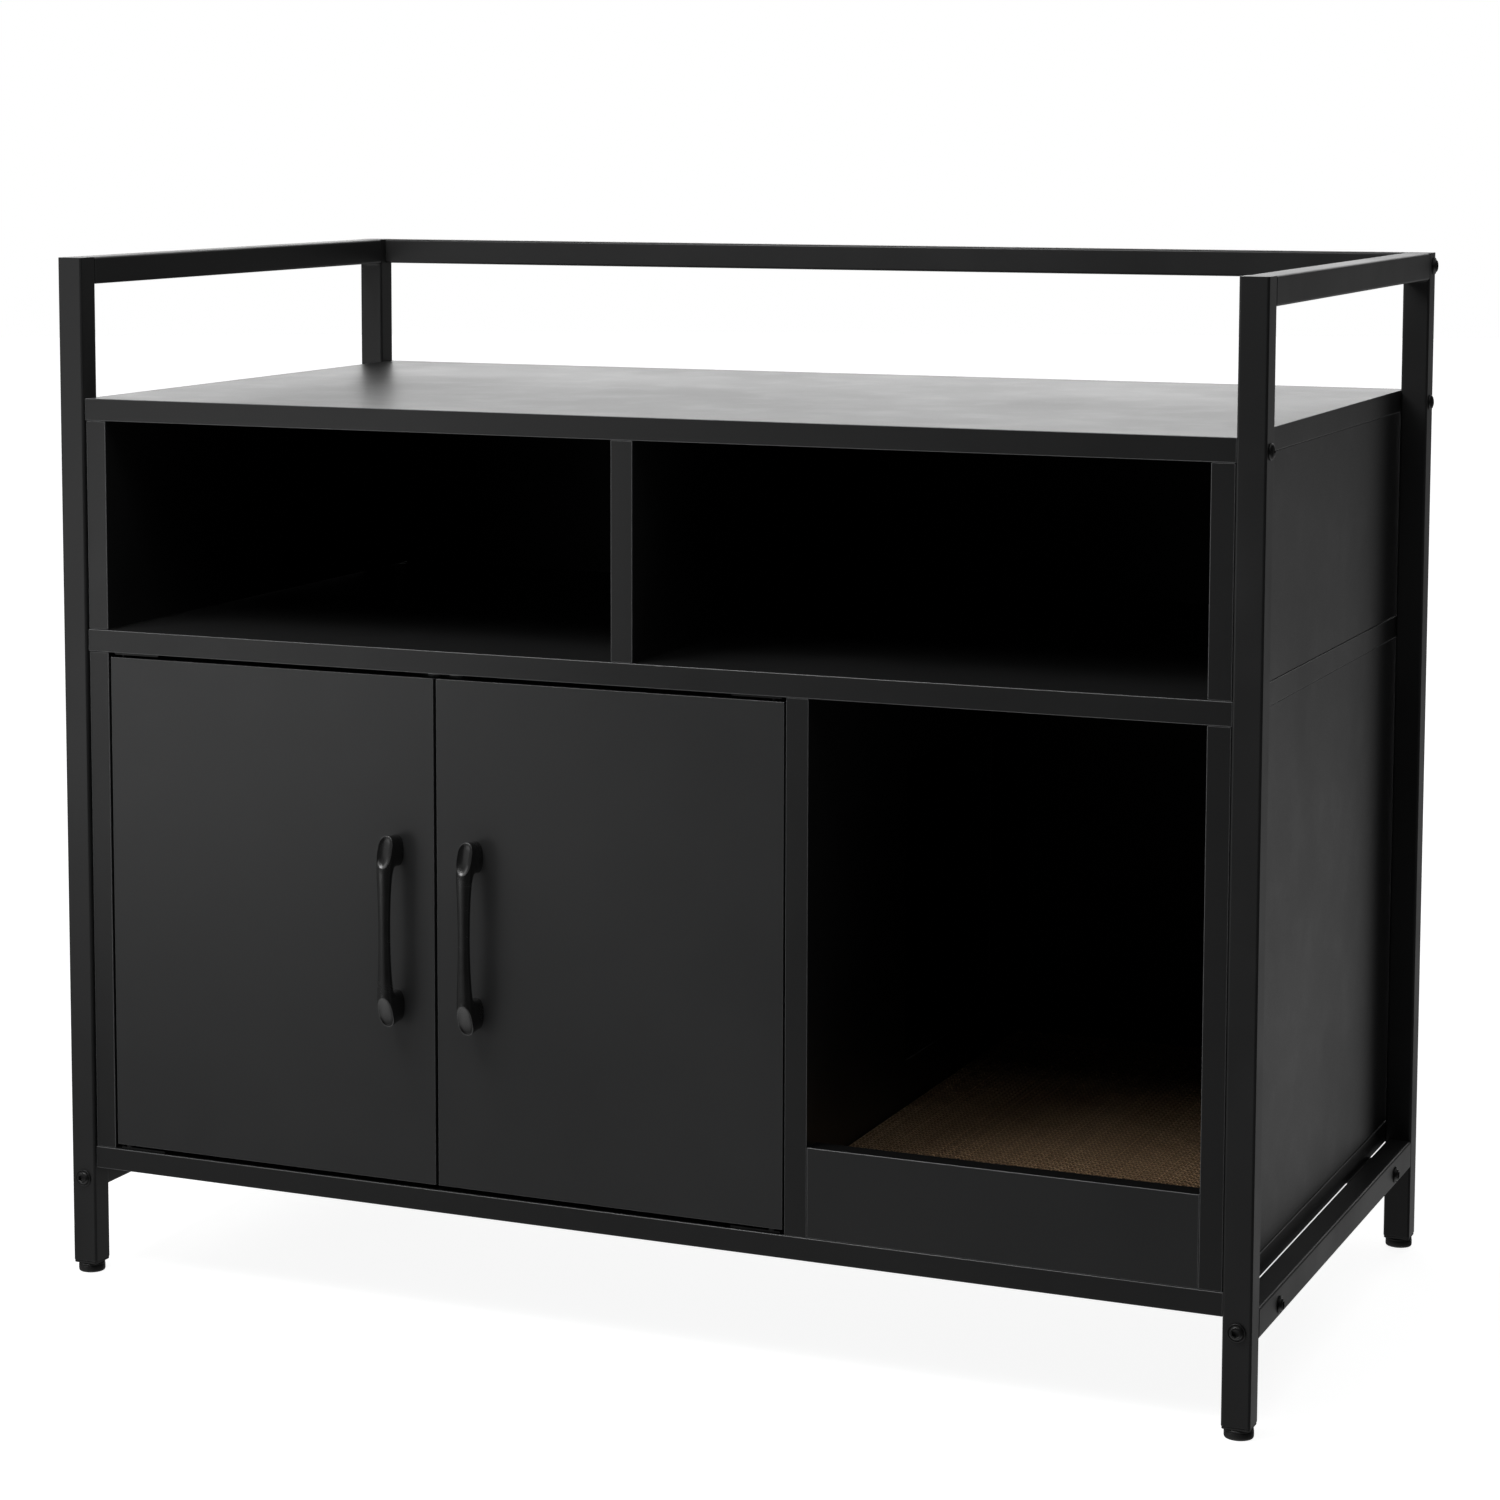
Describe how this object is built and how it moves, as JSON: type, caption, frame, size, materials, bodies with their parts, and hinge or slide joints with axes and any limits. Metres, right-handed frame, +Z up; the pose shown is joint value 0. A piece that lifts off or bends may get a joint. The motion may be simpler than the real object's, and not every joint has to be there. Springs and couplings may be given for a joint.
{
  "type": "cat litter box cabinet",
  "caption": "Black board cabinet on a square-tube frame: open shelf tier, closed litter compartment behind hinged doors, inner doorway to a walk-in bay with a scratch pad.",
  "frame": {"origin": "centre of the bounding box at floor level", "axes": "+X to the right along the width seen from the front, +Y to the rear, +Z up; the doors face -Y"},
  "size_m": [1.007, 0.5656, 0.844],
  "materials": {
    "frame_coat": "satin black powder coat",
    "board_laminate": "satin black laminate on particle board",
    "back_hardboard": "matte black faced hardboard",
    "handle_satin_black": "satin black",
    "bolt_black": "black finish, satin",
    "pivot_black": "black plated steel strip",
    "foot_plastic": "moulded black",
    "insert_plastic": "moulded black",
    "catch_plastic": "moulded black",
    "corrugated_card": "cut edge of corrugated board"
  },
  "bodies": {
    "cabinet": {"front_left_post": "frame_coat", "front_right_post": "frame_coat", "rear_left_post": "frame_coat", "rear_right_post": "frame_coat", "left_top_rail": "frame_coat", "right_top_rail": "frame_coat", "rear_top_rail": "frame_coat", "left_side_rail": "frame_coat", "right_side_rail": "frame_coat", "front_cross_bar": "frame_coat", "rear_cross_bar": "frame_coat", "top_board": "board_laminate", "middle_shelf": "board_laminate", "bottom_board": "board_laminate", "upper_left_side_panel": "board_laminate", "upper_right_side_panel": "board_laminate", "lower_left_side_panel": "board_laminate", "lower_right_side_panel": "board_laminate", "upper_divider": "board_laminate", "lower_divider": "board_laminate", "kick_board": "board_laminate", "upper_back_panel": "back_hardboard", "lower_back_panel": "back_hardboard", "left_door_top_pivot": "pivot_black", "left_door_bottom_pivot": "pivot_black", "right_door_top_pivot": "pivot_black", "right_door_bottom_pivot": "pivot_black", "magnet_catch": "catch_plastic", "front_left_foot_insert": "insert_plastic", "front_right_foot_insert": "insert_plastic", "rear_left_foot_insert": "insert_plastic", "rear_right_foot_insert": "insert_plastic", "front_left_rail_bolt": "bolt_black", "front_right_rail_bolt": "bolt_black", "rear_left_rail_bolt": "bolt_black", "rear_right_rail_bolt": "bolt_black", "front_left_cross_bolt": "bolt_black", "front_right_cross_bolt": "bolt_black", "rear_left_cross_bolt": "bolt_black", "rear_right_cross_bolt": "bolt_black", "front_left_board_screw": "bolt_black", "front_right_board_screw": "bolt_black", "rear_left_board_screw": "bolt_black", "rear_right_board_screw": "bolt_black", "rear_left_top_rail_bolt": "bolt_black", "rear_right_top_rail_bolt": "bolt_black"},
    "left_door_leaf": {"left_door": "board_laminate", "left_handle": "handle_satin_black", "left_door_top_bush": "pivot_black", "left_door_bottom_bush": "pivot_black"},
    "right_door_leaf": {"right_door": "board_laminate", "right_handle": "handle_satin_black", "right_door_top_bush": "pivot_black", "right_door_bottom_bush": "pivot_black"},
    "pad": {"scratch_pad": "corrugated_card"},
    "front_left_foot_body": {"front_left_foot": "foot_plastic"},
    "front_right_foot_body": {"front_right_foot": "foot_plastic"},
    "rear_left_foot_body": {"rear_left_foot": "foot_plastic"},
    "rear_right_foot_body": {"rear_right_foot": "foot_plastic"}
  },
  "joints": [
    {"name": "left_door_hinge", "type": "hinge", "parent": "cabinet", "child": "left_door_leaf", "pos_m": [-0.4473, -0.25226, 0.316], "axis": [0, 0, -1], "range_deg": [0, 100]},
    {"name": "right_door_hinge", "type": "hinge", "parent": "cabinet", "child": "right_door_leaf", "pos_m": [0.1244, -0.25226, 0.316], "axis": [0, 0, 1], "range_deg": [0, 100]},
    {"name": "scratch_pad_lift", "type": "slide", "parent": "cabinet", "child": "pad", "axis": [0, 0, 1], "range_m": [0, 0.09]},
    {"name": "front_left_foot_screw", "type": "slide", "parent": "cabinet", "child": "front_left_foot_body", "axis": [0, 0, -1], "range_m": [0, 0.008]},
    {"name": "front_right_foot_screw", "type": "slide", "parent": "cabinet", "child": "front_right_foot_body", "axis": [0, 0, -1], "range_m": [0, 0.008]},
    {"name": "rear_left_foot_screw", "type": "slide", "parent": "cabinet", "child": "rear_left_foot_body", "axis": [0, 0, -1], "range_m": [0, 0.008]},
    {"name": "rear_right_foot_screw", "type": "slide", "parent": "cabinet", "child": "rear_right_foot_body", "axis": [0, 0, -1], "range_m": [0, 0.008]}
  ]
}
